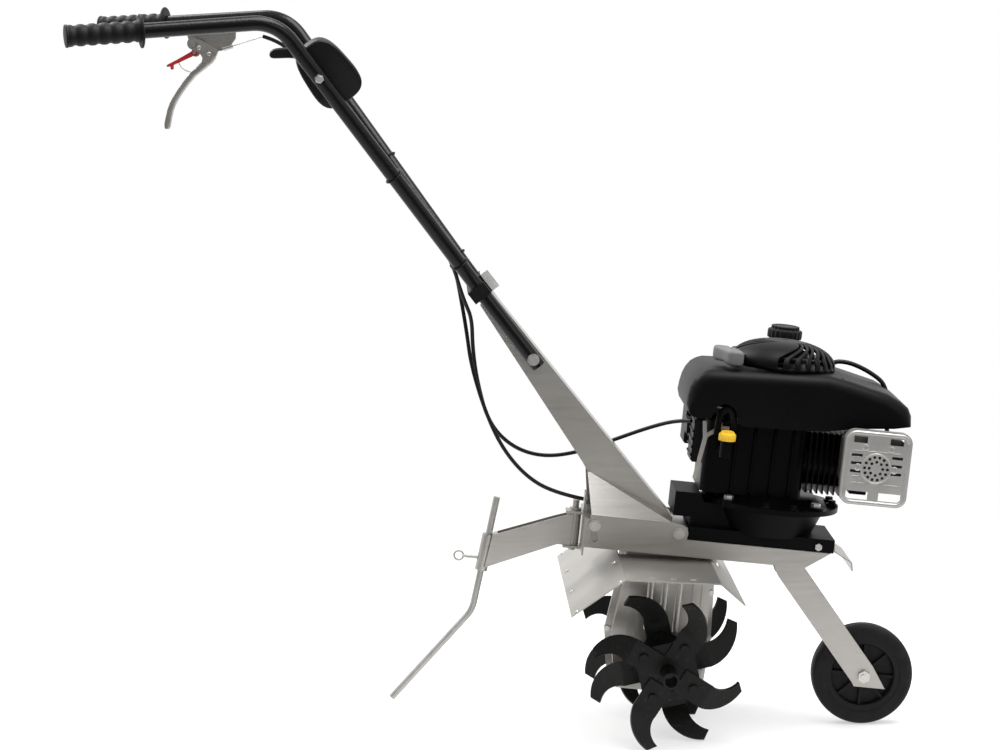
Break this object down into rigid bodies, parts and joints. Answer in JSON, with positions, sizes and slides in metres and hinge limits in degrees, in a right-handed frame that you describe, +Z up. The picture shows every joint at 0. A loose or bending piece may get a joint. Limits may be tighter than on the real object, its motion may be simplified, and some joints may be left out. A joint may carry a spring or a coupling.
{
  "type": "garden tiller",
  "caption": "Petrol garden tiller: vertical-shaft engine over a belt and worm drive, folded tines under a guard, transport wheel, drag stake and bent handlebars with clutch and throttle.",
  "frame": {"origin": "centre of the footprint box, on the ground", "axes": "+X forward to the wheel, +Y to the machine's left, +Z up"},
  "size_m": [1.2526, 0.52, 1.0878],
  "materials": {
    "zinc_steel": "galvanised pressed sheet",
    "bright_steel": "plated fasteners and ground shafts",
    "shield_steel": "stamped bright sheet",
    "black_tube": "gloss black powder coat",
    "black_paint": "satin black paint",
    "engine_black": "cast and painted dark",
    "flywheel_iron": "rough cast iron",
    "shroud_black": "satin moulded black",
    "black_plastic": "moulded black",
    "grip_rubber": "ribbed soft rubber",
    "cable_sheath": "smooth black sheath",
    "belt_rubber": "cord and rubber",
    "tyre_rubber": "solid black tread",
    "grey_plastic": "light grey moulding",
    "red_plastic": "red moulding",
    "yellow_plastic": "yellow moulding",
    "bronze": "machined bronze",
    "rope": "braided cord"
  },
  "bodies": {
    "chassis": {"deck": "zinc_steel", "hitch_bracket": "zinc_steel", "hinge_pins": "bright_steel", "gear_case_right": "zinc_steel", "gear_case_left": "zinc_steel", "shaft_bearings": "bright_steel", "tine_guard": "zinc_steel", "engine_pan": "black_paint", "front_bumper": "zinc_steel", "drive_belt": "belt_rubber", "sump": "engine_black", "crankcase": "engine_black", "cylinder_head": "engine_black", "blower_housing": "shroud_black", "recoil_cover": "shroud_black", "fuel_tank": "shroud_black", "intake": "black_plastic", "control_bracket": "zinc_steel", "muffler": "shield_steel", "muffler_shield": "shield_steel", "spark_lead": "cable_sheath", "frame_bolts": "bright_steel"},
    "handle": {"handle_column": "zinc_steel", "column_cap": "grey_plastic", "handlebar_right": "black_tube", "handlebar_left": "black_tube", "grips": "grip_rubber", "handle_bolts": "bright_steel", "clutch_bracket": "zinc_steel", "throttle_housing": "black_plastic", "clutch_cable": "cable_sheath", "throttle_cable": "cable_sheath"},
    "clutch_lever": {"clutch_lever": "zinc_steel"},
    "safety_catch": {"safety_catch": "red_plastic"},
    "throttle_lever": {"throttle_lever": "black_plastic"},
    "tines": {"tine_shaft": "bright_steel", "tine_hub_right": "black_paint", "tine_hub_left": "black_paint", "tine_knives": "black_paint", "tine_bolts": "bright_steel", "worm_wheel": "bronze"},
    "worm": {"worm_shaft": "bright_steel", "driven_pulley": "bright_steel"},
    "crank": {"crankshaft": "bright_steel", "flywheel": "flywheel_iron", "drive_pulley": "bright_steel"},
    "idler_arm": {"idler_arm": "bright_steel"},
    "idler_pulley": {"idler_pulley": "bright_steel"},
    "fork": {"wheel_fork": "zinc_steel", "axle_bolt": "bright_steel"},
    "wheel": {"wheel_rim": "black_plastic", "tyre": "tyre_rubber"},
    "drag_arm": {"drag_arm": "zinc_steel", "stake_pin": "bright_steel"},
    "stake": {"drag_stake": "bright_steel"},
    "starter": {"starter_grip": "grey_plastic", "starter_rope": "rope"},
    "reel": {"starter_reel": "black_plastic"},
    "fuel_cap": {"fuel_cap": "black_plastic"},
    "oil_cap": {"oil_cap": "yellow_plastic"}
  },
  "joints": [
    {"name": "handle_height", "type": "hinge", "parent": "chassis", "child": "handle", "pos_m": [0.26115, 0, 0.30878], "axis": [0, 1, 0], "range_deg": [0, 9], "deforming": ["clutch_cable", "throttle_cable"]},
    {"name": "clutch_squeeze", "type": "hinge", "parent": "handle", "child": "clutch_lever", "pos_m": [-0.47406, 0.20315, 1.0319], "axis": [0.2622, 0.9646, -0.0271], "range_deg": [0, 52], "stiffness_Nm_per_rad": 0.3, "springref_deg": -11.46},
    {"name": "catch_press", "type": "hinge", "parent": "handle", "child": "safety_catch", "pos_m": [-0.47335, 0.20257, 1.01793], "axis": [0.2622, 0.9646, -0.0271], "range_deg": [0, 20], "stiffness_Nm_per_rad": 0.05, "springref_deg": -17.19},
    {"name": "throttle_turn", "type": "hinge", "parent": "handle", "child": "throttle_lever", "pos_m": [-0.26177, -0.09824, 1.00506], "axis": [-0.1502, 0.9669, 0.2063], "range_deg": [-10, 45]},
    {"name": "tine_spin", "type": "hinge", "parent": "chassis", "child": "tines", "pos_m": [0.24081, 0, 0.11183], "axis": [0, 1, 0], "continuous": true},
    {"name": "worm_spin", "type": "hinge", "parent": "chassis", "child": "worm", "pos_m": [0.2806, 0, 0.10772], "axis": [0.1027, 0, 0.9947], "continuous": true},
    {"name": "crank_spin", "type": "hinge", "parent": "chassis", "child": "crank", "pos_m": [0.39978, 0, 0.34674], "axis": [0.1027, 0, 0.9947], "continuous": true},
    {"name": "idler_swing", "type": "hinge", "parent": "chassis", "child": "idler_arm", "pos_m": [0.41461, -0.044, 0.31505], "axis": [-0.1027, 0, -0.9947], "range_deg": [0, 7.4]},
    {"name": "idler_spin", "type": "hinge", "parent": "idler_arm", "child": "idler_pulley", "pos_m": [0.36233, -0.0465, 0.33452], "axis": [0.1027, 0, 0.9947], "continuous": true},
    {"name": "fork_fold", "type": "hinge", "parent": "chassis", "child": "fork", "pos_m": [0.41461, 0, 0.27132], "axis": [0, -1, 0], "range_deg": [0, 30]},
    {"name": "wheel_spin", "type": "hinge", "parent": "fork", "child": "wheel", "pos_m": [0.54891, 0, 0.0774], "axis": [0, 1, 0], "continuous": true},
    {"name": "arm_swing", "type": "hinge", "parent": "chassis", "child": "drag_arm", "pos_m": [0.10612, 0, 0.30669], "axis": [0.1027, 0, 0.9947], "range_deg": [-25, 25]},
    {"name": "stake_slide", "type": "slide", "parent": "drag_arm", "child": "stake", "axis": [0.2127, 0, 0.9771], "range_m": [-0.03, 0.04]},
    {"name": "reel_turn", "type": "hinge", "parent": "chassis", "child": "reel", "pos_m": [0.42279, 0, 0.56956], "axis": [-0.1027, 0, -0.9947], "range_deg": [0, 155], "stiffness_Nm_per_rad": 0.05, "springref_deg": -57.3},
    {"name": "starter_pull", "type": "slide", "parent": "chassis", "child": "starter", "axis": [-0.9947, 0, 0.1027], "range_m": [0, 0.111]},
    {"name": "fuel_cap_turn", "type": "hinge", "parent": "chassis", "child": "fuel_cap", "pos_m": [0.43935, 0.125, 0.58393], "axis": [0.1027, 0, 0.9947], "range_deg": [0, 120]},
    {"name": "oil_cap_turn", "type": "hinge", "parent": "chassis", "child": "oil_cap", "pos_m": [0.32931, -0.095, 0.46259], "axis": [0.1027, 0, 0.9947], "range_deg": [0, 180]}
  ],
  "couplings": [
    {"joint": "worm_spin", "follows": "tine_spin", "ratio": 14},
    {"joint": "idler_swing", "follows": "clutch_squeeze", "ratio": 0.1422},
    {"joint": "starter_pull", "follows": "reel_turn", "m_per_rad": 0.0405}
  ]
}
